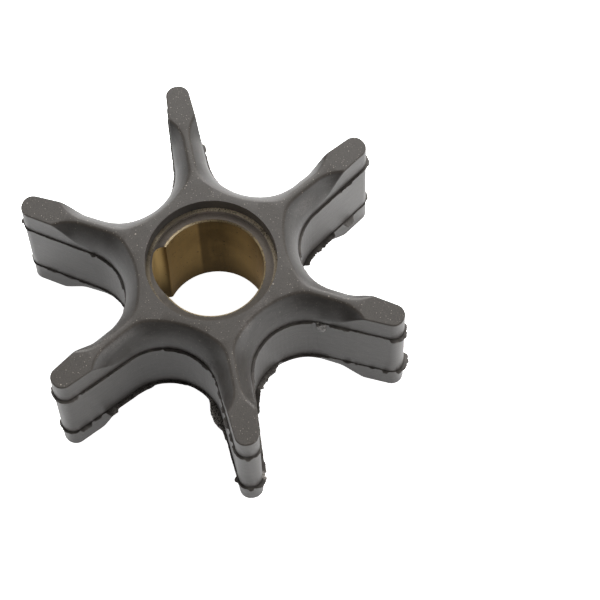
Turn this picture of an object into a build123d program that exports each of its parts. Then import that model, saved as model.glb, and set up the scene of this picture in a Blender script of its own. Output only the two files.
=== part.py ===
from build123d import *
from math import acos, atan2, cos, degrees, radians, sin, tan
import os

# Flexible impeller of a raw-water pump: one rubber moulding bonded to a brass bush.
# The shaft axis is Z, the lower end of the rubber is at z = 0 and the keyway points along -X.
# Lengths are in millimetres and angles in degrees.

# Rubber, seen along the shaft
vane_count = 6
tip_radius = 34.35
tip_thickness = 3.85
vane_taper = 3.9
pocket_radius = 9.45

# Rubber, along the shaft
height = 24.5
middle_height = 13.7

# Scooped relief at each end of every gap between vanes
land_radius = 12.7
rib_half_width = 0.5
rib_reach = 23.4
relief_run = 2.4
relief_root_radius = 17.2
relief_corner_radius = 5.2
relief_end_radius = 6.7

# Flash left where the mould plates met: a ridge that thins outwards to a sharp lip
flash_reach = 0.35
flash_thickness = 0.25

# Brass bush
bore_diameter = 17.8
bush_diameter = 22.5
upper_recess = 2.6
lower_recess = 1.0
rim_width = 0.8
rim_step = 0.3
bore_chamfer = 0.35

# Keyway: one straight wall, and a floor on a round arc that runs out into the bore
keyway_wall = 3.5
keyway_depth = 1.4
keyway_radius = 8.4
keyway_rise = 0.9
keyway_rounding = 1.7
keyway_from_vane = 15

# Worked out from the sizes above
half_pitch = 180 / vane_count
first_vane = 180 - keyway_from_vane
first_pocket = first_vane + half_pitch
wall_angle = half_pitch + vane_taper
flank_offset = tip_thickness / 2 + tip_radius * tan(radians(vane_taper))
pocket_distance = (pocket_radius + flank_offset * cos(radians(vane_taper))) / sin(radians(wall_angle))
relief_depth = (height - middle_height) / 2
parting_levels = (relief_depth, height - relief_depth)
flash_slope = degrees(atan2(flash_reach, flash_thickness / 2))
bore_radius = bore_diameter / 2
bush_radius = bush_diameter / 2


# One gap between two vanes in plan, opening along +X: a round root and two straight walls.
with BuildSketch() as pocket_plan:
    with BuildLine():
        root = CenterArc((pocket_distance, 0), pocket_radius, 90 + wall_angle, 180 - 2 * wall_angle)
        upper_wall = PolarLine(root @ 0, tip_radius, wall_angle)
        lower_wall = PolarLine(root @ 1, tip_radius, -wall_angle)
        Line(upper_wall @ 1, lower_wall @ 1)
    make_face()

# The whole rotor in plan: a disc less its pockets, with the end of each vane rounded off.
with BuildSketch() as rotor_plan:
    Circle(tip_radius)
    with PolarLocations(0, vane_count, start_angle=first_pocket):
        add(pocket_plan.sketch, mode=Mode.SUBTRACT)
    fillet(rotor_plan.vertices().group_by(SortBy.DISTANCE)[-1], radius=tip_thickness / 2)

# The relief follows the crisp edge of the flat land: across the root, round a corner, along the thin rib
# on top of the vane and out through its flank. The corner turns by what the root arc leaves over.
root_centre = land_radius + relief_root_radius
rib_to_corner = rib_half_width + relief_corner_radius
corner_turn = degrees(
    acos((root_centre * sin(radians(half_pitch)) - rib_to_corner) / (relief_root_radius - relief_corner_radius))
)
root_turn = 90 - half_pitch - corner_turn
rib_end = (
    rib_reach * cos(radians(half_pitch)) + rib_half_width * sin(radians(half_pitch)),
    rib_half_width * cos(radians(half_pitch)) - rib_reach * sin(radians(half_pitch)),
)
end_turn = 80
relief_bulge = (relief_run**2 + relief_depth**2) / (2 * relief_run)
cut_margin = 1.5

with BuildPart() as relief:
    with BuildLine(Plane.XY.offset(height)) as land_edge:
        across = JernArc((land_radius, 0), (0, -1), relief_root_radius, root_turn)
        corner = JernArc(across @ 1, across % 1, relief_corner_radius, corner_turn)
        along = Line(corner @ 1, rib_end)
        JernArc(along @ 1, along % 1, relief_end_radius, end_turn)
    with BuildSketch(Plane.XZ) as relief_section:
        with BuildLine():
            foot = (land_radius + relief_run, height - relief_depth)
            bulge = RadiusArc((land_radius, height), foot, relief_bulge)
            Polyline(
                bulge @ 1,
                (foot[0] + cut_margin, foot[1]),
                (foot[0] + cut_margin, height + cut_margin),
                (land_radius, height + cut_margin),
                bulge @ 0,
            )
        make_face()
    sweep()
    mirror(about=Plane.XZ)
    mirror(about=Plane.XY.offset(height / 2))

with BuildPart() as rubber_vanes:
    add(rotor_plan.sketch)
    extrude(amount=height)
    with PolarLocations(0, vane_count, start_angle=first_pocket):
        add(relief.part, mode=Mode.SUBTRACT)
    for level in parting_levels:
        with BuildSketch(Plane.XY.offset(level)):
            offset(rotor_plan.sketch, amount=flash_reach)
        extrude(amount=flash_thickness / 2, both=True, taper=flash_slope)
    Hole(bush_radius)

# Half of the bush's section: a raised outer rim at the upper end and broken edges at the bore.
bush_bottom = lower_recess
bush_top = height - upper_recess
bush_face = bush_top - rim_step

with BuildPart() as brass_hub:
    with BuildSketch(Plane.XZ) as bush_section:
        with BuildLine():
            Polyline(
                (bore_radius, bush_bottom + bore_chamfer),
                (bore_radius + bore_chamfer, bush_bottom),
                (bush_radius, bush_bottom),
                (bush_radius, bush_top),
                (bush_radius - rim_width, bush_top),
                (bush_radius - rim_width, bush_face),
                (bore_radius + bore_chamfer, bush_face),
                (bore_radius, bush_face - bore_chamfer),
                close=True,
            )
        make_face()
    revolve(axis=Axis.Z)
    with BuildSketch() as keyway_plan:
        with Locations((keyway_radius - bore_radius - keyway_depth, keyway_rise)):
            Circle(keyway_radius)
        with Locations((0, keyway_wall)):
            Rectangle(4 * bore_radius, 4 * bore_radius, align=(Align.CENTER, Align.MAX), mode=Mode.INTERSECT)
        fillet(keyway_plan.vertices().group_by(Axis.X)[0], radius=keyway_rounding)
    extrude(amount=height, mode=Mode.SUBTRACT)

rubber_vanes.part.label = "rubber_vanes"
brass_hub.part.label = "brass_hub"

os.makedirs("parts", exist_ok=True)
export_step(rubber_vanes.part, "parts/rubber_vanes.step")
export_step(brass_hub.part, "parts/brass_hub.step")
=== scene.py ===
"""Looks of a rubber pump impeller: moulded rubber with torn flash, a brass bush, a floor and soft light."""
import logging
import math
from dataclasses import dataclass, field
from enum import Enum
from typing import Any, Sequence

import bmesh
import bpy
from mathutils import Matrix, Vector, noise
from mathutils.geometry import delaunay_2d_cdt
from mathutils.kdtree import KDTree


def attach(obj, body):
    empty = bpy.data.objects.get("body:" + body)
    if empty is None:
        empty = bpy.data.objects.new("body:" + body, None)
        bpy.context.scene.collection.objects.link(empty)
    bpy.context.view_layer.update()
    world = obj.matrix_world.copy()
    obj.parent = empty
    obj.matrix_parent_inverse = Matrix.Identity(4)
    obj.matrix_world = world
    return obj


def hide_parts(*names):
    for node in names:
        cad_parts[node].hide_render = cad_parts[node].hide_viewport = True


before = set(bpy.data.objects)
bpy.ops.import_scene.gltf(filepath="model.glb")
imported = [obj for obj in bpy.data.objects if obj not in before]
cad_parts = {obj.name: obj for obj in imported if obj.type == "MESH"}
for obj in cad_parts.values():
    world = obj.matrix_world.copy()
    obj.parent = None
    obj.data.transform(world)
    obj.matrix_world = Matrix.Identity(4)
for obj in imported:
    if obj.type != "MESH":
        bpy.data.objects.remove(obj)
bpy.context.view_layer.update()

log = logging.getLogger("impeller")
MM = 0.001
ROOT = "root"
Colour = tuple[float, float, float, float]


@dataclass(frozen=True)
class Sizes:
    """The impeller's driving sizes, which its pieces and finishes share, in metres and radians."""

    height: float = 24.5 * MM
    middle_height: float = 13.7 * MM
    hole_radius: float = 11.25 * MM
    bore_radius: float = 8.9 * MM
    vanes: int = 6
    first_gap: float = math.radians(15)

    @property
    def pitch(self) -> float:
        """Return the angle from one vane to the next."""
        return 2 * math.pi / self.vanes

    @property
    def relief_depth(self) -> float:
        """Return how deep the reliefs go, which is how far a parting plane lies from its end."""
        return (self.height - self.middle_height) / 2


SIZES = Sizes()


class Signal:
    """A number socket of a shader or geometry tree that adds Math nodes when it is used in an expression."""

    def __init__(self, graph: "Graph", socket: bpy.types.NodeSocket) -> None:
        """Wrap a socket of a graph.

        Args:
            graph: the graph that the socket belongs to.
            socket: an output socket that carries a number.
        """
        self.graph = graph
        self.socket = socket

    def math(self, operation: str, *others: "Signal | float", first: float | None = None) -> "Signal":
        """Add one Math node.

        Args:
            operation: the Math node's operation.
            others: further operands.
            first: a number that stands before this signal, for the reflected operators.

        Returns:
            The node's result.
        """
        operands: list[Any] = [self, *others] if first is None else [first, self]
        node = self.graph.add("Math", {"operation": operation}, dict(enumerate(operands)))
        return Signal(self.graph, node.outputs[0])

    def __add__(self, other: "Signal | float") -> "Signal":
        """Return self + other."""
        return self.math("ADD", other)

    __radd__ = __add__

    def __sub__(self, other: "Signal | float") -> "Signal":
        """Return self - other."""
        return self.math("SUBTRACT", other)

    def __rsub__(self, other: float) -> "Signal":
        """Return other - self."""
        return self.math("SUBTRACT", first=other)

    def __mul__(self, other: "Signal | float") -> "Signal":
        """Return self * other."""
        return self.math("MULTIPLY", other)

    __rmul__ = __mul__

    def __truediv__(self, other: "Signal | float") -> "Signal":
        """Return self / other."""
        return self.math("DIVIDE", other)

    def __pow__(self, other: float) -> "Signal":
        """Return self ** other."""
        return self.math("POWER", other)

    def ramp(self, low: float, high: float) -> "Signal":
        """Make a smooth step of the signal.

        Args:
            low: the value where the step is 0.
            high: the value where it is 1, which may be the smaller one.

        Returns:
            The step.
        """
        values = {"Value": self, "From Min": low, "From Max": high}
        node = self.graph.add("MapRange", {"interpolation_type": "SMOOTHSTEP"}, values)
        return Signal(self.graph, node.outputs[0])


@dataclass
class Graph:
    """A node tree that is built by code."""

    tree: bpy.types.NodeTree

    def add(self, kind: str, settings: dict[str, Any], values: dict[Any, Any]) -> bpy.types.Node:
        """Add a node, set it up and feed its sockets.

        Args:
            kind: the node's whole type, or a shader node's type without its prefix.
            settings: properties set first, such as an operation.
            values: a number, colour, Signal or socket for each input, by name or index.

        Returns:
            The new node.
        """
        whole = kind.startswith(("ShaderNode", "GeometryNode", "NodeGroup"))
        node = self.tree.nodes.new(kind if whole else "ShaderNode" + kind)
        for name, value in settings.items():
            setattr(node, name, value)
        for key, value in values.items():
            self.feed(node.inputs[key], value)
        return node

    def feed(self, target: bpy.types.NodeSocket, value: Any) -> None:
        """Feed one input of a node.

        Args:
            target: the input.
            value: a number or colour to set, or a Signal or socket to link.
        """
        if isinstance(value, Signal):
            value = value.socket
        if isinstance(value, bpy.types.NodeSocket):
            self.tree.links.new(value, target)
        else:
            target.default_value = value

    def output(self, kind: str, settings: dict[str, Any], values: dict[Any, Any]) -> bpy.types.NodeSocket:
        """Add a node and return its first output."""
        return self.add(kind, settings, values).outputs[0]

    def signal(self, kind: str, settings: dict[str, Any], values: dict[Any, Any], output: Any = 0) -> Signal:
        """Add a node and return one of its outputs as a Signal."""
        return Signal(self, self.add(kind, settings, values).outputs[output])

    def mix(self, factor: Any, first: Any, second: Any) -> bpy.types.NodeSocket:
        """Mix two colours.

        Args:
            factor: how much of the second colour there is, from 0 to 1.
            first: the colour at 0.
            second: the colour at 1.

        Returns:
            The mixed colour's socket.
        """
        node = self.add("Mix", {"data_type": "RGBA"}, {0: factor, 6: first, 7: second})
        return node.outputs[2]

    def noise(self, place: Any, scale: float, detail: float = 2.0, roughness: float = 0.5) -> Signal:
        """Return a noise signal about 0.5.

        Args:
            place: the coordinate socket.
            scale: cells in a metre.
            detail: octaves.
            roughness: how much each octave keeps.

        Returns:
            The noise factor.
        """
        values = {"Vector": place, "Scale": scale, "Detail": detail, "Roughness": roughness}
        return self.signal("TexNoise", {}, values)

    def stretched(self, place: bpy.types.NodeSocket, scale: Sequence[float]) -> bpy.types.NodeSocket:
        """Return a coordinate scaled along its axes, which draws a pattern out along the small ones."""
        return self.output("Mapping", {"vector_type": "POINT"}, {"Vector": place, "Scale": scale})

    def around_shaft(self, place: bpy.types.NodeSocket) -> tuple[Signal, Signal, Signal]:
        """Split a place into its position about the shaft axis.

        Args:
            place: the coordinate socket.

        Returns:
            The radius, the turn from the X axis and the height.
        """
        parts = self.add("SeparateXYZ", {}, {0: place})
        across, along, height = (Signal(self, parts.outputs[axis]) for axis in "XYZ")
        return (across * across + along * along) ** 0.5, along.math("ARCTAN2", across), height


@dataclass(frozen=True)
class Sector:
    """A stretch round the shaft axis with soft ends, as four angles in degrees, anticlockwise."""

    start: float
    full: float
    fade: float
    end: float

    def mask(self, turn: Signal) -> Signal:
        """Return a mask that is 1 inside the stretch."""
        start, full, fade, end = map(math.radians, (self.start, self.full, self.fade, self.end))
        return turn.ramp(start, full) * turn.ramp(end, fade)


def new_material(name: str) -> tuple[bpy.types.Material, Graph, bpy.types.Node, bpy.types.NodeSocket]:
    """Make an empty material.

    Args:
        name: the material's name.

    Returns:
        The material, its graph, its Principled shader and the Object coordinate socket.
    """
    material = bpy.data.materials.new(name)
    material.use_nodes = True
    material.node_tree.nodes.clear()
    graph = Graph(material.node_tree)
    shader = graph.add("BsdfPrincipled", {}, {})
    graph.add("OutputMaterial", {}, {"Surface": shader.outputs[0]})
    place = graph.add("TexCoord", {}, {}).outputs["Object"]
    return material, graph, shader, place


def dress(graph: Graph, shader: bpy.types.Node, **values: Any) -> None:
    """Feed a shader.

    Args:
        graph: the shader's graph.
        shader: the shader.
        values: what each input gets, with underscores for the spaces in its name.
    """
    for name, value in values.items():
        graph.feed(shader.inputs[name.replace("_", " ")], value)


@dataclass(frozen=True)
class Bloom:
    """A powdery pale patch on a relief.

    Its middle and its half sizes along, across and in height are in millimetres and its turn in degrees. The
    strength is the powder's share in its middle.
    """

    middle: tuple[float, float, float]
    sizes: tuple[float, float, float]
    turn: float
    strength: float

    def mask(self, graph: Graph, place: bpy.types.NodeSocket) -> Signal:
        """Tell how strong the patch is at each place.

        Args:
            graph: the material's graph.
            place: the Object coordinate socket.

        Returns:
            The patch's mask.
        """
        values = {
            "Vector": place,
            "Location": [value * MM for value in self.middle],
            "Rotation": (0, 0, math.radians(self.turn)),
            "Scale": [value * MM for value in self.sizes],
        }
        local = graph.output("Mapping", {"vector_type": "TEXTURE"}, values)
        away = graph.signal("VectorMath", {"operation": "LENGTH"}, {0: local}, "Value")
        return away.ramp(1.0, 0.1) * self.strength


@dataclass(frozen=True)
class RubberFinish:
    """Dark moulded rubber.

    It has a fine grain, faint clouds, drawn streaks on its walls, pale specks and a few powdery blooms. The
    wall of the hole above the bush has a painted highlight: its colour is painted paler on the side that the
    light reaches.
    """

    name: str = "moulded_rubber"
    dark: Colour = (0.0190, 0.0170, 0.0153, 1)
    pale: Colour = (0.0290, 0.0262, 0.0236, 1)
    land_dark: Colour = (0.0200, 0.0166, 0.0135, 1)
    land_pale: Colour = (0.0310, 0.0262, 0.0216, 1)
    speck: Colour = (0.30, 0.265, 0.225, 1)
    powder: Colour = (0.105, 0.094, 0.087, 1)
    # painted highlight for the lit side of the hole's wall above the bush
    hole_wall_highlight: Colour = (0.062, 0.054, 0.0455, 1)
    roughness: float = 0.48
    shine: float = 0.25
    grain: float = 0.24 * MM
    speck_spacing: float = 0.42 * MM
    land_depth: float = 0.25 * MM
    hole_wall_highlight_turns: tuple[float, float] = (math.radians(112), math.radians(78))
    blooms: tuple[Bloom, ...] = (
        Bloom((14.6, 12.4, 22.3), (4.9, 1.7, 2.0), 52, 0.40),
        Bloom((9.2, -7.9, 24.0), (3.6, 1.4, 1.6), 48, 0.34),
        Bloom((6.8, -11.6, 23.9), (3.4, 1.4, 1.6), 68, 0.42),
        Bloom((-15.2, -16.1, 23.9), (6.5, 1.7, 1.6), 42, 0.34),
    )

    def on_land(self, height: Signal) -> Signal:
        """Mark the flat lands at both ends.

        Args:
            height: the height above the lower end.

        Returns:
            A mask that is 1 on a land.
        """
        upper = height.ramp(SIZES.height - self.land_depth, SIZES.height - self.land_depth / 2)
        lower = height.ramp(self.land_depth, self.land_depth / 2)
        return upper.math("MAXIMUM", lower)

    def specks(
        self, graph: Graph, place: bpy.types.NodeSocket, spacing: float, size: float, share: float
    ) -> Signal:
        """Scatter small round specks.

        Args:
            graph: the material's graph.
            place: the Object coordinate socket.
            spacing: the side of one cell, in metres.
            size: a speck's radius as a share of the cell.
            share: how many of the cells hold one.

        Returns:
            A mask that is 1 on a speck, and less on the fainter ones.
        """
        cells = graph.add("TexVoronoi", {"feature": "F1"}, {"Vector": place, "Scale": 1 / spacing})
        parts = graph.add("SeparateXYZ", {}, {0: cells.outputs["Color"]})
        pick, shine = Signal(graph, parts.outputs["X"]), Signal(graph, parts.outputs["Y"])
        radius = size * (0.5 + pick / share * 0.7)
        near = Signal(graph, cells.outputs["Distance"])
        return (1 - near / radius).ramp(0.0, 0.4) * pick.ramp(share, share - 0.02) * (0.25 + shine * 0.75)

    def powdered(self, graph: Graph, place: bpy.types.NodeSocket, mottle: Signal) -> Signal:
        """Tell how much powder lies at each place.

        Args:
            graph: the material's graph.
            place: the Object coordinate socket.
            mottle: the noise that thins the powder.

        Returns:
            The powder's share.
        """
        first, *others = (bloom.mask(graph, place) for bloom in self.blooms)
        clumps = graph.noise(place, 3.2 / MM, detail=3, roughness=0.75).ramp(0.34, 0.62) * 0.85 + 0.15
        return (sum(others, first) * clumps * (0.4 + mottle * 1.2)).math("MINIMUM", 0.8)

    def material(self) -> bpy.types.Material:
        """Build the material.

        Returns:
            The material.
        """
        material, graph, shader, place = new_material(self.name)
        radius, turn, height = graph.around_shaft(place)
        land = self.on_land(height)
        walls = 1 - land
        cloud = graph.noise(place, 0.10 / MM, detail=5, roughness=0.55)
        mottle = graph.noise(place, 0.9 / MM, detail=3)
        grain = graph.noise(place, 1 / self.grain, detail=2, roughness=0.7)
        drawn = graph.noise(graph.stretched(place, (0.16, 0.16, 1)), 1.9 / MM, detail=3, roughness=0.6)
        fine = self.specks(graph, place, self.speck_spacing, 0.22, 0.75)
        large = self.specks(graph, place, 3.8 * self.speck_spacing, 0.09, 0.8)
        specks = (fine * 0.5 + large * 0.7) * (0.3 + land * 0.7)

        tone = cloud * 0.08 + mottle * 0.2 + grain * (0.37 + land * 0.3) + drawn * walls * 0.35 + land * 0.025
        tone = tone.ramp(0.36, 0.64)
        on_walls = graph.mix(tone, self.dark, self.pale)
        on_lands = graph.mix(tone, self.land_dark, self.land_pale)
        colour = graph.mix(land, on_walls, on_lands)
        # Painted highlight: the wall of the hole above the bush is painted paler on the side that the light
        # reaches
        in_hole = radius.ramp(SIZES.hole_radius * 1.03, SIZES.hole_radius * 1.01) * walls
        colour = graph.mix(in_hole * turn.ramp(*self.hole_wall_highlight_turns), colour, self.hole_wall_highlight)
        colour = graph.mix(self.powdered(graph, place, mottle), colour, self.powder)
        colour = graph.mix(specks.math("MINIMUM", 1.0), colour, self.speck)

        texture = grain * 0.7 + mottle * 0.5 + drawn * walls * 1.2 + specks * 0.5
        bump = graph.output("Bump", {}, {"Strength": 0.4, "Distance": 0.03 * MM, "Height": texture})
        dress(
            graph, shader,
            Base_Color=colour,
            Roughness=self.roughness + (cloud - 0.5) * 0.05 + (grain - 0.5) * 0.16 + specks * 0.3,
            Normal=bump,
            Specular_IOR_Level=self.shine,
        )
        return material


@dataclass(frozen=True)
class TornFinish:
    """Torn flash: the same rubber, but darker and rougher, with pale crumbs where the mesh says, real dust in
    places and painted light that lifts shaded flaps in others.
    """

    name: str = "torn_rubber"
    dark: Colour = (0.030, 0.0262, 0.0228, 1)
    pale: Colour = (0.052, 0.0460, 0.0405, 1)
    # pale crumbs: real dust, and painted light on shaded flaps
    crumb_and_painted_light: Colour = (0.45, 0.42, 0.38, 1)
    roughness: float = 0.6
    shine: float = 0.3

    def material(self) -> bpy.types.Material:
        """Build the material.

        Returns:
            The material.
        """
        material, graph, shader, place = new_material(self.name)
        cloud = graph.noise(place, 0.6 / MM, detail=4, roughness=0.6)
        crumbs = graph.noise(place, 4.0 / MM, detail=3, roughness=0.7)
        # Pale crumbs where the mesh says: real dust in places, painted light that lifts shaded flaps in
        # others
        dust_and_painted_light = graph.signal("Attribute", {"attribute_name": "dust_and_painted_light"}, {}, "Fac")
        colour = graph.mix(cloud.ramp(0.35, 0.65), self.dark, self.pale)
        colour = graph.mix(dust_and_painted_light * crumbs.ramp(0.40, 0.58), colour, self.crumb_and_painted_light)
        bump = graph.output("Bump", {}, {"Strength": 0.6, "Distance": 0.06 * MM, "Height": crumbs})
        dress(
            graph, shader,
            Base_Color=colour,
            Roughness=self.roughness + (crumbs - 0.5) * 0.2,
            Normal=bump,
            Specular_IOR_Level=self.shine,
        )
        return material


class BrassPattern:
    """Where a place on the bush lies, and the noises that its finish is made of."""

    def __init__(self, graph: Graph, place: bpy.types.NodeSocket) -> None:
        """Add the pattern's nodes.

        Args:
            graph: the material's graph.
            place: the Object coordinate socket.
        """
        self.radius, self.turn, self.height = graph.around_shaft(place)
        self.streaks = graph.noise(graph.stretched(place, (1, 1, 0.06)), 1.6 / MM, detail=4, roughness=0.65)
        self.cloud = graph.noise(place, 0.22 / MM, detail=4, roughness=0.6)
        self.grain = graph.noise(place, 4.5 / MM, detail=3, roughness=0.7)
        self.pits = graph.noise(place, 1.5 / MM, detail=1).ramp(0.71, 0.75) * 0.8
        self.ragged = (graph.noise(place, 2.4 / MM, detail=4, roughness=0.75) - 0.5) * (0.5 * MM)


@dataclass(frozen=True)
class BrassFinish:
    """Dull turned brass.

    The bore is streaked and brown on one side, with painted shade towards its lower end and a painted
    highlight in its keyway. Its broken edge has a painted highlight on one side, broken up like wear, the end
    face has a grey film with painted light on one stretch and painted shade on the side in the recess wall's
    shadow, and the raised rim is a mottled tan with painted shade outside that stretch.
    """

    name: str = "turned_brass"
    gold: Colour = (0.210, 0.142, 0.058, 1)
    # painted highlight: the keyway is painted a brighter gold than the bore
    lit_slot_gold: Colour = (0.37, 0.265, 0.115, 1)
    brown: Colour = (0.050, 0.0345, 0.0158, 1)
    # painted highlight on one side of the broken edge, broken up like wear
    bright: Colour = (0.25, 0.205, 0.135, 1)
    broken: Colour = (0.270, 0.215, 0.130, 1)
    film: Colour = (0.038, 0.0345, 0.0308, 1)
    # painted light: the film is painted paler on its lit stretch
    lit_film: Colour = (0.150, 0.129, 0.111, 1)
    tan: Colour = (0.44, 0.372, 0.272, 1)
    # dark colour for real pits and mottles, and for painted shade
    stain_and_shade: Colour = (0.016, 0.012, 0.007, 1)
    edge_tint: Colour = (0.62, 0.52, 0.42, 1)
    shine: float = 0.25
    metal: float = 0.85
    roughness: float = 0.52
    bottom: float = 1.0 * MM
    face_level: float = 21.6 * MM
    edge_width: float = 0.35 * MM
    rim_width: float = 0.8 * MM
    browned: Sector = Sector(52, 88, 108.7, 112.7)
    # the stretch with painted light on the film, and painted shade on the rim outside it
    lit_stretch: Sector = Sector(-28.6, 51.6, 131.8, 171.9)
    # the side where the recess wall's shadow is painted on the film and the rim
    recess_shadow: Sector = Sector(84, 124, 142, 172)
    # the side of the broken edge that carries its painted highlight
    highlight_turns: tuple[float, float] = (math.radians(92), math.radians(125))

    @property
    def inner_rim(self) -> float:
        """Return the radius at which the raised rim starts."""
        return SIZES.hole_radius - self.rim_width

    def bore_colour(self, graph: Graph, on: BrassPattern) -> bpy.types.NodeSocket:
        """Colour the bore and the keyway.

        Args:
            graph: the material's graph.
            on: the bush's pattern.

        Returns:
            The colour's socket.
        """
        radius = SIZES.bore_radius
        patchy = (on.cloud * 0.5 + on.streaks * 0.5).ramp(0.30, 0.70)
        browned = self.browned.mask(on.turn) * 0.72 + (1 - patchy) * 0.42
        colour = graph.mix(browned.math("MINIMUM", 1.0), self.gold, self.brown)
        # Painted highlight: the keyway is painted a brighter gold
        colour = graph.mix(on.radius.ramp(radius + 0.1 * MM, radius + 0.9 * MM), colour, self.lit_slot_gold)
        in_slot = on.radius.ramp(radius + 0.02 * MM, radius + 0.25 * MM)
        # Painted shade: darker towards the lower end of the bore, and of the keyway further up; the pits are
        # real
        shade_and_pits = on.height.ramp(self.bottom + 9.5 * MM, self.bottom) * 0.85
        slot_shade = on.height.ramp(self.bottom + 15.0 * MM, self.bottom + 2.0 * MM) * in_slot * 0.97
        shade_and_pits = shade_and_pits.math("MAXIMUM", slot_shade).math("MAXIMUM", on.pits)
        return graph.mix(shade_and_pits, colour, self.stain_and_shade)

    def edge_colour(self, graph: Graph, on: BrassPattern) -> bpy.types.NodeSocket:
        """Colour the broken edge between the bore and the end face.

        Args:
            graph: the material's graph.
            on: the bush's pattern.

        Returns:
            The colour's socket.
        """
        outside = on.radius + on.ragged * 1.4 - SIZES.bore_radius
        lip = outside.ramp(self.edge_width * 0.75, self.edge_width * 0.3)
        # Painted highlight on one side of the edge, broken up by the grain like wear
        wear_and_highlight = on.turn.ramp(*self.highlight_turns) * on.grain.ramp(0.25, 0.5) * lip
        broken = graph.mix(on.grain.ramp(0.34, 0.50), self.brown, self.broken)
        return graph.mix(wear_and_highlight, broken, self.bright)

    def film_colour(self, graph: Graph, on: BrassPattern) -> bpy.types.NodeSocket:
        """Colour the end face, with painted light on its lit stretch, painted shade on the side in the recess
        wall's shadow, and darker close to the rim.

        Args:
            graph: the material's graph.
            on: the bush's pattern.

        Returns:
            The colour's socket.
        """
        in_recess_shadow = self.recess_shadow.mask(on.turn)
        near_rim = on.radius.ramp(self.inner_rim - 0.9 * MM, self.inner_rim)
        # Painted light: the film is painted paler on its lit stretch
        film = graph.mix(self.lit_stretch.mask(on.turn), self.film, self.lit_film)
        # Painted shade on the side in the recess wall's shadow, darker close to the rim, and dirt from the
        # grain
        darkening = on.grain.ramp(0.52, 0.78) * 0.5 + near_rim * (0.04 + in_recess_shadow * 0.35) + in_recess_shadow * 0.20
        return graph.mix(darkening, film, self.stain_and_shade)

    def rim_colour(self, graph: Graph, on: BrassPattern) -> bpy.types.NodeSocket:
        """Colour the raised rim, whose tan has painted shade outside its lit stretch and in the recess wall's
        shadow.

        Args:
            graph: the material's graph.
            on: the bush's pattern.

        Returns:
            The colour's socket.
        """
        # Painted shade on the rim outside its lit stretch and in the recess wall's shadow
        darkening = (self.recess_shadow.mask(on.turn) * 0.70).math("MAXIMUM", (1 - self.lit_stretch.mask(on.turn)) * 0.84)
        tan = graph.mix(darkening, self.tan, self.stain_and_shade)
        return graph.mix((on.grain * 0.7 + on.cloud * 0.3).ramp(0.33, 0.52), self.stain_and_shade, tan)

    def material(self) -> bpy.types.Material:
        """Build the material.

        Returns:
            The material.
        """
        material, graph, shader, place = new_material(self.name)
        on = BrassPattern(graph, place)
        edge_end = SIZES.bore_radius + self.edge_width
        face = on.height.ramp(self.face_level - 0.45 * MM, self.face_level - 0.30 * MM)
        edge = (on.radius + on.ragged).ramp(edge_end, edge_end - self.edge_width * 0.5)
        filmed = face * (1 - edge)
        rim = (on.radius + on.ragged * 0.3).ramp(self.inner_rim + 0.02 * MM, self.inner_rim + 0.20 * MM)
        rim = rim * face

        colour = graph.mix(face * edge, self.bore_colour(graph, on), self.edge_colour(graph, on))
        colour = graph.mix(filmed, colour, self.film_colour(graph, on))
        colour = graph.mix(rim, colour, self.rim_colour(graph, on))
        texture = on.streaks * 0.6 + on.grain * (0.3 + filmed + rim) - on.pits
        bump = graph.output("Bump", {}, {"Strength": 0.5, "Distance": 0.04 * MM, "Height": texture})
        dress(
            graph, shader,
            Base_Color=colour,
            Metallic=self.metal * (1 - filmed.math("MAXIMUM", rim) * 0.95),
            Roughness=self.roughness + (on.streaks - 0.5) * 0.2 + filmed * 0.06 + rim * 0.12,
            Normal=bump,
            Specular_IOR_Level=self.shine,
            Specular_Tint=self.edge_tint,
        )
        return material


@dataclass(frozen=True)
class FloorFinish:
    """A plain pale floor that glows a little, as on a light table."""

    name: str = "pale_floor"
    colour: Colour = (0.95, 0.95, 0.95, 1)
    roughness: float = 0.7
    glow: float = 1.0

    def material(self) -> bpy.types.Material:
        """Build the material.

        Returns:
            The material.
        """
        material, graph, shader, _ = new_material(self.name)
        dress(
            graph, shader,
            Base_Color=self.colour, Roughness=self.roughness,
            Emission_Color=(1, 1, 1, 1), Emission_Strength=self.glow,
        )
        return material


def adopt(mesh: bpy.types.Mesh, name: str, material: bpy.types.Material) -> bpy.types.Object:
    """Make a finished mesh a scene object with one material.

    Args:
        mesh: the mesh, in metres and in place.
        name: the object's name.
        material: its finish.

    Returns:
        The linked object.
    """
    mesh.materials.clear()
    mesh.materials.append(material)
    piece = bpy.data.objects.new(name, mesh)
    bpy.context.scene.collection.objects.link(piece)
    return piece


def merged_copy(node: str) -> bmesh.types.BMesh:
    """Copy a CAD node's triangles and join their corners.

    Args:
        node: the node's name.

    Returns:
        The joined shape; whoever asks for it frees it.
    """
    shape = bmesh.new()
    shape.from_mesh(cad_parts[node].data)
    bmesh.ops.remove_doubles(shape, verts=shape.verts, dist=0.002 * MM)
    return shape


def soften(shape: bmesh.types.BMesh, width: float, crisp: float) -> None:
    """Round the crisp edges of a shape a little.

    Args:
        shape: the shape to change.
        width: how far back from the edge the rounding starts, in metres.
        crisp: the least angle between two faces that counts as crisp.
    """
    edges = [edge for edge in shape.edges if edge.is_manifold and edge.calc_face_angle(0) > crisp]
    bmesh.ops.bevel(
        shape, geom=edges, offset=width, offset_type="OFFSET", segments=2, profile=0.5, affect="EDGES",
        clamp_overlap=True,
    )


class Flank(Enum):
    """A side of a vane, as seen from above when looking outwards from the shaft."""

    LEFT = "left"
    RIGHT = "right"


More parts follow.
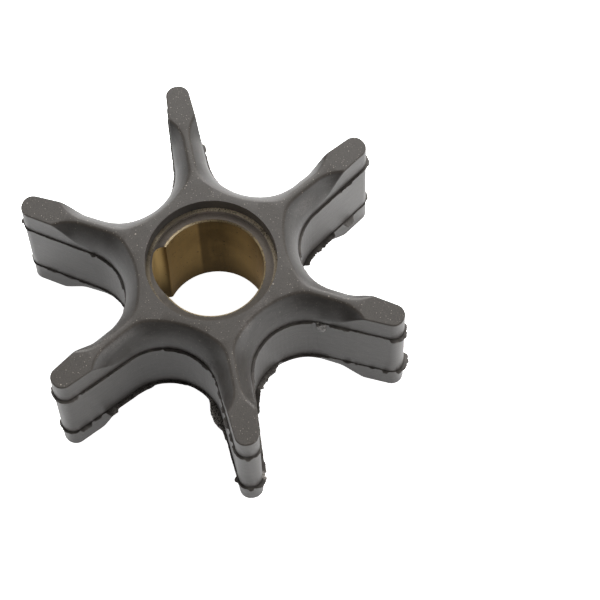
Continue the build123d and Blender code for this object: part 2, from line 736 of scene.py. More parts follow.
@dataclass(frozen=True)
class Tear:
    """A stretch of a vane's flash that stands out further than the rest.

    The stretch runs from the near to the far distance from the shaft axis. The reach is how far it stands
    out, the droop how far its lip hangs and the feather how far it takes to grow at its ends, all in
    millimetres. Its lip is as ragged as its share of the usual raggedness says, and the last field is the
    share of pale crumbs on it, real dust on some tears and painted light that lifts shaded flaps on others.
    """

    near: float
    far: float
    reach: float
    droop: float = 0.0
    feather: float = 0.45
    ragged: float = 1.0
    dust_and_painted_light: float = 0.0

    def share(self, radius: float) -> float:
        """Return how far the stretch has grown at a distance from the shaft axis, from 0 to 1."""
        share = min(max(min(radius - self.near, self.far - radius) / self.feather + 1, 0.0), 1.0)
        return share * share * (3 - 2 * share)


Tears = dict[tuple[int, Flank], tuple[Tear, ...]]


@dataclass
class FlashLine:
    """The torn flash all round the rotor at one parting plane.

    Its tears are listed by vane and flank. Vane 1 stands at the first vane's angle from the X axis, and the
    numbers go clockwise as seen from above.
    """

    name: str
    level: float
    base_reach: float
    seed: float
    tears: Tears
    thickness: float = 0.16 * MM
    sink: float = 0.10 * MM
    spacing: float = 0.14 * MM
    first_vane: float = math.radians(105)

    def at(self, point: Vector) -> tuple[float, float, float, float]:
        """Tell how the flash is torn at a point of the outline.

        Args:
            point: the point.

        Returns:
            The reach and the droop in metres, the raggedness, and the share of pale crumbs, real dust in
            places and painted light elsewhere.
        """
        radius = math.hypot(point.x, point.y) / MM
        turn = (self.first_vane - math.atan2(point.y, point.x)) / SIZES.pitch
        vane = round(turn)
        flank = Flank.LEFT if vane > turn else Flank.RIGHT
        reach = droop = dust_and_painted_light = 0.0
        ragged = 1.0
        for tear in self.tears.get((vane % SIZES.vanes + 1, flank), ()):
            share = tear.share(radius)
            if share * tear.reach * MM > reach:
                reach, ragged = share * tear.reach * MM, tear.ragged
            droop = max(droop, share * tear.droop * MM)
            dust_and_painted_light = max(dust_and_painted_light, share * tear.dust_and_painted_light)
        return reach, droop, ragged, dust_and_painted_light

    def rail(self, outline: Sequence[Vector]) -> bpy.types.Mesh:
        """Make the closed line that the flash follows.

        Args:
            outline: the rotor's outline seen from above, anticlockwise.

        Returns:
            The line, with the attributes that the flash tree reads.
        """
        count = len(outline)
        mesh = bpy.data.meshes.new(self.name + "_rail")
        points = [(point.x, point.y, self.level) for point in outline]
        mesh.from_pydata(points, [(index, (index + 1) % count) for index in range(count)], [])
        for name, values in zip(("reach", "droop", "ragged", "dust_and_painted_light"), zip(*map(self.at, outline))):
            mesh.attributes.new(name, "FLOAT", "POINT").data.foreach_set("value", values)
        outward: list[float] = []
        for index in range(count):
            step = outline[(index + 1) % count] - outline[index - 1]
            outward.extend(Vector((step.y, -step.x, 0)).normalized())
        mesh.attributes.new("outward", "FLOAT_VECTOR", "POINT").data.foreach_set("vector", outward)
        return mesh

    def build(self, outline: Sequence[Vector], tree: bpy.types.NodeTree) -> bpy.types.Object:
        """Build the flash along the rotor's outline and return it.

        Args:
            outline: the rotor's outline seen from above, anticlockwise.
            tree: the flash tree.

        Returns:
            The finished piece.
        """
        maker = bpy.data.objects.new(self.name + "_maker", self.rail(outline))
        bpy.context.scene.collection.objects.link(maker)
        finish = TornFinish(self.name + "_rubber").material()
        values = {
            "Base Reach": self.base_reach, "Thickness": self.thickness, "Sink": self.sink,
            "Spacing": self.spacing, "Seed": self.seed, "Finish": finish,
        }
        mesh = grown(maker, tree, values)
        mesh.name = self.name
        face_outwards(mesh)
        mesh.shade_smooth()
        piece = adopt(mesh, self.name, finish)
        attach(piece, ROOT)
        return piece


def grown(maker: bpy.types.Object, tree: bpy.types.NodeTree, values: dict[str, Any]) -> bpy.types.Mesh:
    """Run a Geometry Nodes tree on an object and return the result as a plain mesh.

    Args:
        maker: the object that carries the starting geometry; it is removed.
        tree: the tree to run.
        values: the tree's inputs by name.

    Returns:
        The plain mesh.
    """
    modifier = maker.modifiers.new("growth", "NODES")
    modifier.node_group = tree
    for item in tree.interface.items_tree:
        if item.item_type == "SOCKET" and item.in_out == "INPUT" and item.name in values:
            modifier[item.identifier] = values[item.name]
    maker.update_tag()
    graph = bpy.context.evaluated_depsgraph_get()
    mesh = bpy.data.meshes.new_from_object(maker.evaluated_get(graph))
    maker.modifiers.clear()
    bpy.data.objects.remove(maker)
    return mesh


def smoothed(mesh: bpy.types.Mesh, sharp: float) -> bpy.types.Mesh:
    """Shade a mesh smooth between its crisp edges, with flat faces kept flat by weighting normals by area.

    Args:
        mesh: the mesh; it is used up.
        sharp: the least angle between two faces that counts as crisp.

    Returns:
        The mesh with its normals set.
    """
    mesh.shade_smooth()
    mesh.set_sharp_from_angle(angle=sharp)
    maker = bpy.data.objects.new(mesh.name, mesh)
    bpy.context.scene.collection.objects.link(maker)
    modifier = maker.modifiers.new("weights", "WEIGHTED_NORMAL")
    modifier.keep_sharp = True
    graph = bpy.context.evaluated_depsgraph_get()
    result = bpy.data.meshes.new_from_object(maker.evaluated_get(graph))
    maker.modifiers.clear()
    bpy.data.objects.remove(maker)
    return result


def face_outwards(mesh: bpy.types.Mesh) -> None:
    """Turn a closed mesh's faces outwards and drop the attributes that only its making needed.

    Args:
        mesh: the mesh to change.
    """
    shape = bmesh.new()
    shape.from_mesh(mesh)
    bmesh.ops.remove_doubles(shape, verts=shape.verts, dist=0.0005 * MM)
    bmesh.ops.recalc_face_normals(shape, faces=shape.faces)
    if shape.calc_volume(signed=True) < 0:
        bmesh.ops.reverse_faces(shape, faces=shape.faces)
    shape.to_mesh(mesh)
    shape.free()
    for name in ("reach", "droop", "ragged", "outward", "across", "side", "rail"):
        if name in mesh.attributes:
            mesh.attributes.remove(mesh.attributes[name])


def flash_tree() -> bpy.types.NodeTree:
    """Build the tree that grows torn flash along a closed line.

    The line carries the attributes reach, droop, ragged and outward, and the share of pale crumbs, real dust
    in places and painted light that lifts shaded flaps in others, which goes through to the mesh for its
    finish. The profile's points run across the flash from its root in the wall, at 0, to its lip, at 1, and
    each is then moved to its place.

    Returns:
        The tree.
    """
    tree = bpy.data.node_groups.new("torn_flash", "GeometryNodeTree")
    tree.interface.new_socket("Geometry", in_out="INPUT", socket_type="NodeSocketGeometry")
    for name in ("Base Reach", "Thickness", "Sink", "Spacing", "Seed"):
        tree.interface.new_socket(name, in_out="INPUT", socket_type="NodeSocketFloat")
    tree.interface.new_socket("Finish", in_out="INPUT", socket_type="NodeSocketMaterial")
    tree.interface.new_socket("Geometry", in_out="OUTPUT", socket_type="NodeSocketGeometry")
    graph = Graph(tree)
    inputs = graph.add("NodeGroupInput", {}, {}).outputs
    profile_steps = 10

    def named(name: str, kind: str = "FLOAT") -> bpy.types.NodeSocket:
        """Return a named attribute's socket."""
        return graph.output("GeometryNodeInputNamedAttribute", {"data_type": kind}, {"Name": name})

    def store(shape: Any, name: str, kind: str, value: Any) -> bpy.types.NodeSocket:
        """Store a named attribute on points and return the geometry."""
        settings = {"data_type": kind, "domain": "POINT"}
        values = {"Geometry": shape, "Name": name, "Value": value}
        return graph.output("GeometryNodeStoreNamedAttribute", settings, values)

    def wobble(cells: float, shift: float, detail: float) -> Signal:
        """Return a seeded noise along the line, from about -1 to 1, with its cells in a millimetre."""
        values = {"Vector": rail, "W": seed + shift, "Scale": cells / MM, "Detail": detail, "Roughness": 0.6}
        return graph.signal("TexNoise", {"noise_dimensions": "4D"}, values) * 4 - 2

    # The line, with its own places kept for later
    place = graph.output("GeometryNodeInputPosition", {}, {})
    line = graph.output("GeometryNodeMeshToCurve", {}, {"Mesh": inputs["Geometry"]})
    values = {"Curve": line, "Length": inputs["Spacing"]}
    line = graph.output("GeometryNodeResampleCurve", {"mode": "LENGTH"}, values)
    line = store(line, "rail", "FLOAT_VECTOR", place)

    # The profile, a round one that says where its points lie across the flash and on which side
    values = {"Resolution": profile_steps, "Radius": 1.0}
    profile = graph.output("GeometryNodeCurvePrimitiveCircle", {"mode": "RADIUS"}, values)
    corner = graph.add("SeparateXYZ", {}, {0: place})
    outwards = Signal(graph, corner.outputs["X"]) * 0.5 + 0.5
    profile = store(profile, "across", "FLOAT", outwards)
    profile = store(profile, "side", "FLOAT", corner.outputs["Y"])
    shape = graph.output("GeometryNodeCurveToMesh", {}, {"Curve": line, "Profile Curve": profile})

    rail = named("rail", "FLOAT_VECTOR")
    across = Signal(graph, named("across"))
    side = Signal(graph, named("side"))
    seed = Signal(graph, inputs["Seed"])

    # The flash stands out as far as the plain lip or the tear on it, whichever is further
    quiet = 1 + wobble(0.35, 0.0, 1.0) * 0.45 + wobble(1.6, 3.0, 2.0) * 0.35
    quiet = quiet * Signal(graph, inputs["Base Reach"])
    ragged = Signal(graph, named("ragged"))
    torn = 1 - ragged * (0.18 - wobble(0.7, 7.0, 1.0) * 0.14 - wobble(2.6, 11.0, 2.0) * 0.16)
    torn = torn * Signal(graph, named("reach"))
    reach = quiet.math("MAXIMUM", torn).math("MAXIMUM", 0.03 * MM)
    sink = Signal(graph, inputs["Sink"])
    out = across * (reach + sink) - sink

    # It thins towards a blunt lip, which hangs by its droop and waves up and down
    taper = (1 - across * 0.62) * (1 - (across * 2 - 1).math("POWER", 8.0) * 0.55)
    lift = side * Signal(graph, inputs["Thickness"]) * 0.5 * taper * (1 + wobble(1.1, 17.0, 1.0) * 0.25)
    lip = across * across
    hang = Signal(graph, named("droop")) * lip * (1 + wobble(0.8, 23.0, 1.0) * 0.4)
    wave = lip * reach * ragged * wobble(0.55, 29.0, 2.0) * 0.22

    # Each point goes outwards from the line, and up or down
    outward = named("outward", "FLOAT_VECTOR")
    away = graph.output("VectorMath", {"operation": "SCALE"}, {0: outward, "Scale": out})
    rise = graph.output("CombineXYZ", {}, {"Z": lift + wave - hang})
    moved = graph.output("VectorMath", {"operation": "ADD"}, {0: rail, 1: away})
    moved = graph.output("VectorMath", {"operation": "ADD"}, {0: moved, 1: rise})
    shape = graph.output("GeometryNodeSetPosition", {}, {"Geometry": shape, "Position": moved})
    shape = graph.output("GeometryNodeRealizeInstances", {}, {"Geometry": shape})
    values = {"Geometry": shape, "Material": inputs["Finish"]}
    shape = graph.output("GeometryNodeSetMaterial", {}, values)
    graph.add("NodeGroupOutput", {}, {"Geometry": shape})
    return tree

UPPER_TEARS: Tears = {
    (1, Flank.LEFT): (
        Tear(17.5, 31.0, 0.36, ragged=1.3),
    ),
    (1, Flank.RIGHT): (
        Tear(17.0, 20.0, 0.4), Tear(20.0, 23.6, 0.45), Tear(23.8, 24.9, 0.75, droop=0.1),
    ),
    (2, Flank.RIGHT): (
        Tear(15.0, 33.2, 0.48, ragged=0.5), Tear(26.8, 29.4, 0.72), Tear(33.6, 34.4, 0.65, droop=0.1),
    ),
    (3, Flank.LEFT): (
        Tear(34.1, 34.4, 0.45),
    ),
    (3, Flank.RIGHT): (
        Tear(32.9, 34.25, 0.95, droop=0.3), Tear(26.0, 32.6, 0.34, ragged=1.6),
        Tear(22.4, 25.6, 0.54, droop=0.1, ragged=1.4), Tear(15.0, 19.2, 0.58, ragged=0.5),
        Tear(20.1, 20.3, 0.4, feather=0.1, dust_and_painted_light=1.0),
    ),
    (4, Flank.LEFT): (
        Tear(33.2, 34.4, 0.45), Tear(21.0, 31.8, 0.42), Tear(15.0, 21.5, 0.58, ragged=0.4),
    ),
    (4, Flank.RIGHT): (
        Tear(15.0, 17.6, 0.64, ragged=0.7), Tear(18.8, 19.3, 0.42, feather=0.2),
        Tear(20.2, 20.8, 0.4, feather=0.2), Tear(21.9, 23.1, 0.46, feather=0.3), Tear(24.8, 25.6, 0.65),
        Tear(26.8, 28.4, 0.85, droop=0.25), Tear(29.8, 31.0, 0.55), Tear(31.9, 34.2, 0.55, ragged=1.3),
        Tear(34.3, 34.4, 0.75, droop=0.15, feather=0.04),
    ),
    (5, Flank.LEFT): (
        Tear(31.8, 34.4, 0.65, droop=0.15), Tear(30.3, 30.9, 0.55), Tear(21.0, 30.0, 0.5, ragged=0.5),
        Tear(16.3, 21.0, 0.46, ragged=0.5), Tear(15.0, 15.8, 0.66, ragged=0.6),
    ),
    (5, Flank.RIGHT): (
        Tear(33.6, 34.4, 0.55),
    ),
    (6, Flank.LEFT): (
        Tear(34.2, 34.4, 0.7, droop=0.2, feather=0.1), Tear(21.2, 33.6, 0.36, ragged=1.3),
        Tear(20.5, 21.2, 0.75, droop=0.1, feather=0.3), Tear(15.0, 20.0, 0.55),
    ),
}
LOWER_TEARS: Tears = {
    (2, Flank.RIGHT): (
        Tear(27.9, 29.6, 1.15, droop=0.8, feather=0.5, ragged=0.5),
        Tear(17.6, 24.8, 1.25, droop=0.1, feather=0.5, ragged=1.2), Tear(24.8, 33.0, 0.28, ragged=0.4),
        Tear(33.9, 34.4, 0.55),
    ),
    (3, Flank.LEFT): (
        Tear(33.7, 34.4, 1.15, feather=0.3, ragged=1.7),
    ),
    (3, Flank.RIGHT): (
        Tear(15.0, 15.1, 1.0, droop=0.1, feather=0.25, ragged=1.2, dust_and_painted_light=0.15),
        Tear(15.6, 20.5, 0.6, ragged=0.8), Tear(20.5, 22.0, 0.42), Tear(24.6, 25.8, 0.46, feather=0.25),
        Tear(26.7, 27.0, 0.38, feather=0.3), Tear(29.3, 29.9, 0.44, feather=0.4),
        Tear(31.6, 32.4, 0.65, droop=0.3, feather=0.3),
        Tear(33.8, 34.4, 1.0, droop=0.1, feather=0.3, ragged=1.5),
    ),
    (4, Flank.LEFT): (
        Tear(33.0, 34.1, 0.95, droop=0.1), Tear(32.3, 32.9, 0.6, dust_and_painted_light=0.9),
        Tear(30.4, 32.2, 0.85, ragged=0.7), Tear(21.5, 32.0, 0.62, ragged=0.5),
        Tear(17.6, 21.0, 1.05, feather=1.4, ragged=0.5),
        Tear(15.0, 16.8, 1.3, droop=0.1, feather=0.5, ragged=1.2, dust_and_painted_light=0.15),
    ),
    # The pale crumbs on these flaps are partly real dust and partly painted light that lifts them out of the
    # shade between the vanes
    (4, Flank.RIGHT): (
        Tear(15.0, 25.0, 0.5, ragged=0.3, dust_and_painted_light=0.5),
        Tear(19.6, 21.0, 1.6, droop=0.4, feather=3.8, ragged=0.3, dust_and_painted_light=0.8),
        Tear(16.6, 17.6, 0.5, feather=0.5, ragged=0.3, dust_and_painted_light=1.0), Tear(25.0, 31.0, 0.35),
        Tear(32.2, 32.8, 0.95, droop=0.1, feather=0.4), Tear(33.0, 34.4, 0.55),
        Tear(34.3, 34.4, 0.8, droop=0.2, feather=0.04),
    ),
    (5, Flank.LEFT): (
        Tear(33.0, 34.4, 0.5), Tear(30.6, 32.4, 0.85, droop=0.25), Tear(28.4, 29.6, 0.55, droop=0.1),
        Tear(25.4, 27.0, 1.35, droop=0.4, feather=0.35, ragged=0.5),
        Tear(18.5, 25.4, 0.9, droop=0.1, feather=2.0, ragged=0.2, dust_and_painted_light=0.2),
        Tear(15.0, 18.5, 0.6, ragged=0.2, dust_and_painted_light=0.2),
    ),
    (5, Flank.RIGHT): (
        Tear(33.9, 34.4, 0.4),
    ),
    (6, Flank.LEFT): (
        Tear(15.0, 33.6, 0.34), Tear(29.3, 31.0, 0.46), Tear(26.0, 27.4, 0.46), Tear(23.8, 24.8, 0.48),
    ),
}


def closed(points: Sequence[Vector]) -> list[Vector]:
    """Return a line's points with the first one again at the end."""
    return [*points, points[0]]


def ring(radius: float) -> list[Vector]:
    """Return a closed circle in plan about the shaft axis."""
    count = 240
    turns = (2 * math.pi * index / count for index in range(count))
    return closed([Vector((radius * math.cos(turn), radius * math.sin(turn))) for turn in turns])


@dataclass
class PlanLine:
    """A line in plan that tells how far places lie to its left."""

    points: list[Vector]
    joined: bool = False

    def __post_init__(self) -> None:
        """Sort the points for quick searches."""
        self.tree = KDTree(len(self.points))
        for index, point in enumerate(self.points):
            self.tree.insert((point.x, point.y, 0), index)
        self.tree.balance()

    def left(self, index: int) -> Vector:
        """Find the direction to the left of the line.

        Args:
            index: the number of one of its points.

        Returns:
            The unit vector there.
        """
        count = len(self.points)
        before, after = index - 1, index + 1
        if not self.joined:
            before, after = max(before, 0), min(after, count - 1)
        step = self.points[after % count] - self.points[before % count]
        return Vector((-step.y, step.x)).normalized()

    def distance(self, place: Vector) -> float:
        """Return how far a place lies to the left of the line, less than 0 on its right."""
        _, index, _ = self.tree.find((place.x, place.y, 0))
        return (place - self.points[index]).dot(self.left(index))

    def shifted(self, offset: float) -> list[Vector]:
        """Return the line's points moved to the left."""
        return [point + self.left(index) * offset for index, point in enumerate(self.points)]


@dataclass
class Pen:
    """A pen that draws a line in plan from straight and round stretches."""

    place: Vector
    heading: float
    step: float
    points: list[Vector] = field(default_factory=list)

    def bend(self, radius: float, turn: float) -> None:
        """Draw an arc to the left.

        Args:
            radius: the arc's radius.
            turn: the angle that it turns by.
        """
        count = max(2, round(radius * turn / self.step))
        chord = 2 * radius * math.sin(turn / count / 2)
        for _ in range(count):
            self.heading += turn / count / 2
            self.go(chord)
            self.heading += turn / count / 2

    def straight(self, length: float) -> None:
        """Draw a straight stretch.

        Args:
            length: its length.
        """
        count = max(1, round(length / self.step))
        for _ in range(count):
            self.go(length / count)

    def go(self, length: float) -> None:
        """Draw one step along the heading."""
        self.points.append(self.place.copy())
        self.place = self.place + Vector((math.cos(self.heading), math.sin(self.heading))) * length


@dataclass
class EndShape:
    """The shape of the rotor's end in plan and height: flat land, and a scooped relief at each gap.

    A relief starts at the crisp edge of the land, goes round through a quarter of a bulge and stands upright
    where it meets the wall of the gap. In the corners, where the land stands further back, it runs further.
    The rows of faces lie at shares of the rounded edge, of the shoulder at the land's edge and of the bulge's
    run, closer where the surface bends more.
    """

    wall: PlanLine
    depth: float = SIZES.relief_depth
    run: float = 2.4 * MM
    land_radius: float = 12.7 * MM
    root_radius: float = 17.2 * MM
    corner_radius: float = 5.2 * MM
    end_radius: float = 6.7 * MM
    end_turn: float = math.radians(80)
    rib_half_width: float = 0.5 * MM
    rib_reach: float = 23.4 * MM
    shoulder: float = 0.32 * MM
    edge_round: float = 0.14 * MM
    step: float = 0.30 * MM
    outside_margin: float = 0.2 * MM
    wall_searches: int = 6
    edge_rows: tuple[float, ...] = (0.13, 0.5, 1.0, 2.0)
    shoulder_rows: tuple[float, ...] = (-0.95, -0.6, -0.3, 0.0, 0.3, 0.6, 0.95)
    bulge_rows: tuple[float, ...] = (0.2, 0.31, 0.42, 0.53, 0.62)

    def __post_init__(self) -> None:
        """Draw the edge of the land round one gap, which opens along +X."""
        half_pitch = SIZES.pitch / 2
        to_corner = self.rib_half_width + self.corner_radius
        centre = (self.land_radius + self.root_radius) * math.sin(half_pitch)
        turn = math.acos((centre - to_corner) / (self.root_radius - self.corner_radius))
        pen = Pen(Vector((self.land_radius, 0)), -math.pi / 2, self.step)
        pen.bend(self.root_radius, math.pi / 2 - half_pitch - turn)
        pen.bend(self.corner_radius, turn)
        along = Vector((math.cos(half_pitch), -math.sin(half_pitch)))
        pen.straight(self.rib_reach - pen.place.dot(along))
        pen.bend(self.end_radius, self.end_turn)
        mirrored = [Vector((point.x, -point.y)) for point in reversed(pen.points[1:])]
        self.edge = PlanLine(mirrored + pen.points)

    def drop(self, place: Vector) -> float:
        """Tell how far the end's surface lies below the flat land.

        Args:
            place: the place in plan.

        Returns:
            The depth in metres.
        """
        turn = math.atan2(place.y, place.x) - SIZES.first_gap
        gap_turn = SIZES.first_gap + round(turn / SIZES.pitch) * SIZES.pitch
        inside = self.edge.distance(Matrix.Rotation(-gap_turn, 2) @ place)
        to_wall = self.wall.distance(place)
        lowered = 0.0
        if inside > -2 * self.shoulder:
            run = max(self.run, inside + to_wall)
            bulge = (run * run + self.depth * self.depth) / (2 * run)
            across = min(inside - run + bulge, bulge)
            lowered = self.depth - math.sqrt(bulge * bulge - across * across)
            near = max(self.shoulder - abs(lowered), 0) / self.shoulder
            lowered = max(lowered, 0) + near * near * self.shoulder / 4
        margin = self.edge_round - to_wall
        if margin > 0:
            lowered += self.edge_round - math.sqrt(max(self.edge_round ** 2 - margin ** 2, 0))
        return min(lowered, self.depth)

    def runs(self) -> list[float]:
        """Measure the relief from the land's edge to the wall of the gap.

        Returns:
            How far it runs from each of the edge's points.
        """
        turned = Matrix.Rotation(SIZES.first_gap, 2)
        found = []
        for index, point in enumerate(self.edge.points):
            reach = self.run
            for _ in range(self.wall_searches):
                reach += self.wall.distance(turned @ (point + self.edge.left(index) * reach))
            found.append(max(self.run, reach))
        return found

    def rows(self) -> list[list[Vector]]:
        """Draw the lines that the end's faces follow.

        Returns:
            The lines, each as its points in order.
        """
        rounded = [self.edge_round * share for share in self.edge_rows]
        lines = [closed(self.wall.shifted(offset)) for offset in rounded]
        lines += [ring(SIZES.hole_radius + offset) for offset in rounded]
        runs = self.runs()
        stretches = [[self.shoulder * share] * len(runs) for share in self.shoulder_rows]
        stretches += [[(1 - (1 - share) ** 2) * run for run in runs] for share in self.bulge_rows]
        for gap in range(SIZES.vanes):
            turned = Matrix.Rotation(SIZES.first_gap + gap * SIZES.pitch, 2)
            for offsets in stretches:
                lines.append([
                    turned @ (point + self.edge.left(index) * offset)
                    for index, (point, offset) in enumerate(zip(self.edge.points, offsets))
                ])
        return lines

    def triangles(self) -> tuple[list[Vector], list[tuple[int, int, int]]]:
        """Divide the end into triangles between its outline, its hole and its rows.

        Returns:
            The places in plan, and the triangles between them, anticlockwise.
        """
        places: list[Vector] = []
        edges: list[tuple[int, int]] = []
        for line in [closed(self.wall.points), ring(SIZES.hole_radius), *self.rows()]:
            kept = [point for point in line if self.wall.distance(point) > -self.outside_margin]
            edges += [(index, index + 1) for index in range(len(places), len(places) + len(kept) - 1)]
            places += kept
        only_inside, same_place = 1, 1e-4
        found = delaunay_2d_cdt([place / MM for place in places], edges, [], only_inside, same_place)
        points = [place * MM for place in found[0]]
        faces = [
            face for face in found[2]
            if sum((points[corner] for corner in face), Vector((0, 0))).length / 3 > SIZES.hole_radius
        ]
        return points, faces


@dataclass
class Rotor:
    """The rubber moulding: its node's outline with soft edges, and torn flash in place of the even ridges."""

    node: str = "rubber_vanes"
    shading_margin: float = 0.25 * MM
    least_band: float = 0.02 * MM
    outline_step: float = 0.25 * MM
    crisp: float = math.radians(38)
    upper_flash: float = 0.20 * MM
    lower_flash: float = 0.17 * MM

    @property
    def levels(self) -> tuple[float, float]:
        """Return the heights of the lower and the upper parting plane."""
        return SIZES.relief_depth, SIZES.height - SIZES.relief_depth

    def loops(self, shape: bmesh.types.BMesh) -> list[list[Vector]]:
        """Cut the rotor at mid height.

        Args:
            shape: the joined CAD shape.

        Returns:
            The closed lines of the cut, each as its points in order.
        """
        cut = shape.copy()
        every = [*cut.verts, *cut.edges, *cut.faces]
        middle = (0, 0, SIZES.height / 2)
        found = bmesh.ops.bisect_plane(cut, geom=every, plane_co=middle, plane_no=(0, 0, 1), dist=0.0001 * MM)
        edges = {item for item in found["geom_cut"] if isinstance(item, bmesh.types.BMEdge)}
        loops: list[list[Vector]] = []
        while edges:
            start = edges.pop()
            first, here = start.verts
            loop = [first.co.copy()]
            while here is not first:
                loop.append(here.co.copy())
                step = next(edge for edge in here.link_edges if edge in edges)
                edges.discard(step)
                here = step.other_vert(here)
            loops.append(loop)
        cut.free()
        return loops

    def outline(self, shape: bmesh.types.BMesh) -> list[Vector]:
        """Follow the rotor's outline at mid height.

        Args:
            shape: the joined CAD shape.

        Returns:
            The outline's points, anticlockwise from the one with the greatest X, and evenly spaced.
        """
        loop = max(self.loops(shape), key=lambda points: max(point.xy.length for point in points))
        area = sum(here.x * there.y - there.x * here.y for here, there in zip(loop, loop[1:] + loop[:1]))
        if area < 0:
            loop.reverse()
        start = max(range(len(loop)), key=lambda index: (loop[index].x, loop[index].y))
        loop = loop[start:] + loop[:start]
        points: list[Vector] = []
        for here, there in zip(loop, loop[1:] + loop[:1]):
            count = max(1, round((there - here).length / self.outline_step))
            points += [here.lerp(there, step / count) for step in range(count)]
        return points

    def column(self, drop: float, outer: bool) -> list[float]:
        """Give the heights at which a wall has corners.

        Args:
            drop: how far the wall's rim lies below the flat land.
            outer: whether the wall faces outwards, and so is met by the parting planes.

        Returns:
            The heights from the top down, some of them the same where the wall is low.
        """
        top = SIZES.height - drop
        high = self.levels[1]
        heights = [top, top - self.shading_margin if top - self.shading_margin > high else top]
        if outer:
            heights.append(high if top > high + self.least_band else top)
        return heights + [SIZES.height - height for height in reversed(heights)]

    def post(
        self, shape: bmesh.types.BMesh, top: bmesh.types.BMVert, bottom: bmesh.types.BMVert, drop: float
    ) -> list[bmesh.types.BMVert]:
        """Build the corners of a wall at one place on its rim.

        Args:
            shape: the moulding's shape.
            top: the corner in the upper end.
            bottom: the corner in the lower end.
            drop: how far both lie from the flat lands.

        Returns:
            The corners from the top down, some of them the same where the wall is low.
        """
        heights = self.column(drop, top.co.xy.length > SIZES.hole_radius * 1.1)
        corners = [top]
        for height, above in zip(heights[1:-1], heights):
            corners.append(corners[-1] if height == above else shape.verts.new((*top.co.xy, height)))
        if heights[-1] == heights[-2]:
            corners.pop()
            corners.append(bottom)
        return [*corners, bottom]

    def body(self, end: EndShape) -> bmesh.types.BMesh:
        """Build the moulding: both ends, and the walls between them.

        Args:
            end: the shape of each end.

        Returns:
            The closed shape.
        """
        places, faces = end.triangles()
        drops = [end.drop(place) for place in places]
        shape = bmesh.new()
        top = [shape.verts.new((place.x, place.y, SIZES.height - drop)) for place, drop in zip(places, drops)]
        bottom = [shape.verts.new((place.x, place.y, drop)) for place, drop in zip(places, drops)]
        for a, b, c in faces:
            shape.faces.new((top[a], top[b], top[c]))
            shape.faces.new((bottom[c], bottom[b], bottom[a]))
        ways = {(face[i], face[(i + 1) % 3]) for face in faces for i in range(3)}
        rim = [(a, b) for a, b in ways if (b, a) not in ways]
        posts = {index: self.post(shape, top[index], bottom[index], drops[index]) for index, _ in rim}
        for a, b in rim:
            for level in range(len(posts[a]) - 1):
                corners = [posts[a][level], posts[a][level + 1], posts[b][level + 1], posts[b][level]]
                corners = list(dict.fromkeys(corners))
                if len(corners) > 2:
                    shape.faces.new(corners)
        return shape

    def build(self) -> list[bpy.types.Object]:
        """Build the moulding and its two lines of flash.

        Returns:
            The finished pieces.
        """
        shape = merged_copy(self.node)
        outline = self.outline(shape)
        shape.free()
        shape = self.body(EndShape(PlanLine([point.xy for point in outline], joined=True)))
        open_edges = sum(not edge.is_manifold for edge in shape.edges)
        log.info("open edges %d, volume %.0f mm3", open_edges, shape.calc_volume(signed=True) / MM ** 3)
        mesh = bpy.data.meshes.new("rubber_rotor")
        shape.to_mesh(mesh)
        shape.free()
        piece = adopt(smoothed(mesh, self.crisp), "rubber_rotor", RubberFinish().material())
        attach(piece, ROOT)
        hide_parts(self.node)
        tree = flash_tree()
        low, high = self.levels
        upper = FlashLine("flash_upper", high, self.upper_flash, 2.0, UPPER_TEARS).build(outline, tree)
        lower = FlashLine("flash_lower", low, self.lower_flash, 5.0, LOWER_TEARS).build(outline, tree)
        return [piece, upper, lower]


@dataclass
class Blister:
    """A small lump of rubber on a vane's flank, below the upper parting plane, where the mould was filled.

    Its half sizes are along the vane, across its flank and in height. Each swelling is a noise with its cells
    in a half size and its strength.
    """

    name: str = "gate_blister"
    turn: float = math.radians(-15)
    reach: float = 20.6 * MM
    side: float = 2.80 * MM
    level: float = 17.4 * MM
    lean: float = math.radians(3.9)
    half_sizes: tuple[float, float, float] = (0.95 * MM, 0.42 * MM, 1.45 * MM)
    swellings: tuple[tuple[float, float], ...] = ((1.7, 0.45), (4.0, 0.12))

    def build(self) -> bpy.types.Object:
        """Build the lump.

        Returns:
            The finished piece.
        """
        shape = bmesh.new()
        bmesh.ops.create_icosphere(shape, subdivisions=4, radius=1.0)
        turned = Matrix.Rotation(self.turn, 3, "Z")
        tilted = turned @ Matrix.Rotation(self.lean, 3, "Z")
        centre = turned @ Vector((self.reach, -self.side, self.level))
        for vert in shape.verts:
            swell = 1 + sum(noise.noise(vert.co * cells) * strength for cells, strength in self.swellings)
            place = Vector(size * value * swell for size, value in zip(self.half_sizes, vert.co))
            vert.co = centre + tilted @ place
        mesh = bpy.data.meshes.new(self.name)
        shape.to_mesh(mesh)
        shape.free()
        mesh.shade_smooth()
        finish = TornFinish(self.name + "_rubber", pale=(0.055, 0.049, 0.042, 1), roughness=0.42)
        piece = adopt(mesh, self.name, finish.material())
        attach(piece, ROOT)
        return piece


@dataclass
class Bush:
    """The brass bush: its node with slightly rounded edges."""

    node: str = "brass_hub"
    edge_width: float = 0.05 * MM
    rounded: float = math.radians(30)
    crisp: float = math.radians(38)

    def build(self) -> bpy.types.Object:
        """Build the bush.

        Returns:
            The finished piece.
        """
        shape = merged_copy(self.node)
        soften(shape, self.edge_width, self.rounded)
        bmesh.ops.triangulate(shape, faces=shape.faces)
        mesh = bpy.data.meshes.new("brass_bush")
        shape.to_mesh(mesh)
        shape.free()
        piece = adopt(smoothed(mesh, self.crisp), "brass_bush", BrassFinish().material())
        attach(piece, ROOT)
        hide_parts(self.node)
        return piece


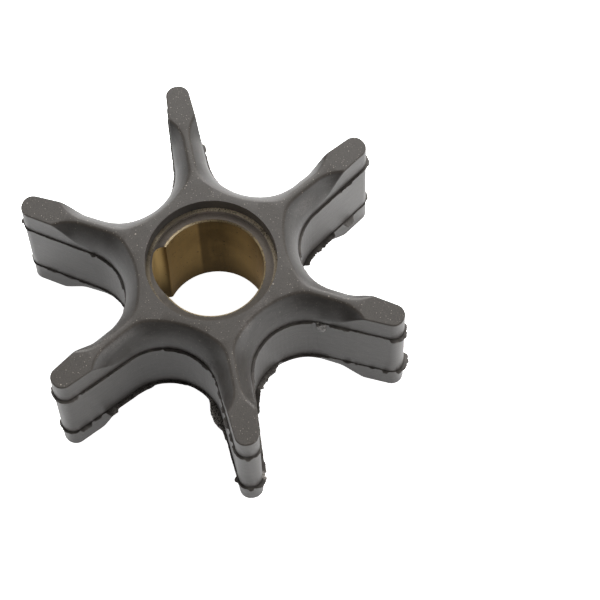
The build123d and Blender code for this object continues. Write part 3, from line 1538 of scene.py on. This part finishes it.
@dataclass(frozen=True)
class Lamp:
    """A square soft light that looks at the object: its place and side in metres and its power in watts."""

    name: str
    place: tuple[float, float, float]
    side: float
    power: float

    def hang(self) -> None:
        """Hang the lamp."""
        data = bpy.data.lights.new(self.name, "AREA")
        data.shape = "SQUARE"
        data.size = self.side
        data.energy = self.power
        lamp = bpy.data.objects.new(self.name, data)
        bpy.context.scene.collection.objects.link(lamp)
        lamp.location = self.place
        lamp.rotation_euler = Vector(self.place).to_track_quat("Z", "Y").to_euler()


@dataclass
class Studio:
    """The floor, the soft light and the camera, which stands at the photograph's viewing angle.

    The camera's distance and its shifts are measured from the middle of the shaft axis.
    """

    distance: float = 458.0 * MM
    elevation: float = math.radians(65.09)
    azimuth: float = math.radians(6.24)
    roll: float = math.radians(-2.63)
    shift_right: float = -14.81 * MM
    shift_up: float = 1.60 * MM
    lens: float = 158.67
    sensor: float = 36.0
    nearest: float = 10.0 * MM
    floor_half_size: float = 3000.0 * MM
    floor_gap: float = 0.05 * MM
    world_light: float = 0.08
    lamps: tuple[Lamp, ...] = (
        Lamp("low_back_light", (0.0, 1.2, 0.25), 1.2, 38.9),
        Lamp("high_back_light", (0.0, 0.9, 0.9), 0.9, 23.3),
        Lamp("left_light", (-1.1, 0.0, 0.4), 0.8, 7.3),
        Lamp("right_light", (1.1, 0.0, 0.4), 0.8, 14.3),
        Lamp("front_right_light", (0.9, -0.7, 0.25), 0.8, 9.8),
    )

    def camera(self) -> None:
        """Place the camera."""
        back = Vector((0, -math.cos(self.elevation), math.sin(self.elevation)))
        up = Vector((0, math.sin(self.elevation), math.cos(self.elevation)))
        right = Vector((1, 0, 0))
        across = math.cos(self.roll) * right + math.sin(self.roll) * up
        upward = -math.sin(self.roll) * right + math.cos(self.roll) * up
        place = back * self.distance - across * self.shift_right - upward * self.shift_up
        axes = Matrix((across, upward, back)).transposed().to_4x4()
        data = bpy.data.cameras.new("camera")
        data.lens = self.lens
        data.sensor_width = self.sensor
        data.clip_start = self.nearest
        camera = bpy.data.objects.new("camera", data)
        bpy.context.scene.collection.objects.link(camera)
        middle = Matrix.Translation((0, 0, SIZES.height / 2)) @ Matrix.Rotation(self.azimuth, 4, "Z")
        camera.matrix_world = middle @ Matrix.Translation(place) @ axes
        bpy.context.scene.camera = camera

    def floor(self) -> None:
        """Lay the floor."""
        shape = bmesh.new()
        bmesh.ops.create_grid(shape, x_segments=1, y_segments=1, size=self.floor_half_size)
        bmesh.ops.translate(shape, verts=shape.verts, vec=(0, 0, -self.floor_gap))
        mesh = bpy.data.meshes.new("floor")
        shape.to_mesh(mesh)
        shape.free()
        floor = adopt(mesh, "floor", FloorFinish().material())

    def light(self) -> None:
        """Hang the lamps and set the world."""
        for lamp in self.lamps:
            lamp.hang()
        world = bpy.data.worlds.new("studio")
        world.use_nodes = True
        background = world.node_tree.nodes["Background"]
        background.inputs["Color"].default_value = (1, 1, 1, 1)
        background.inputs["Strength"].default_value = self.world_light
        bpy.context.scene.world = world
        bpy.context.scene.view_settings.view_transform = "Standard"


def main() -> None:
    """Build every piece in order and report it."""
    logging.basicConfig(level=logging.INFO, format="%(name)s: %(message)s")
    studio = Studio()
    studio.camera()
    studio.floor()
    studio.light()
    for piece in [*Rotor().build(), Blister().build(), Bush().build()]:
        log.info("%s: %d faces", piece.name, len(piece.data.polygons))


if __name__ == "__main__":
    main()
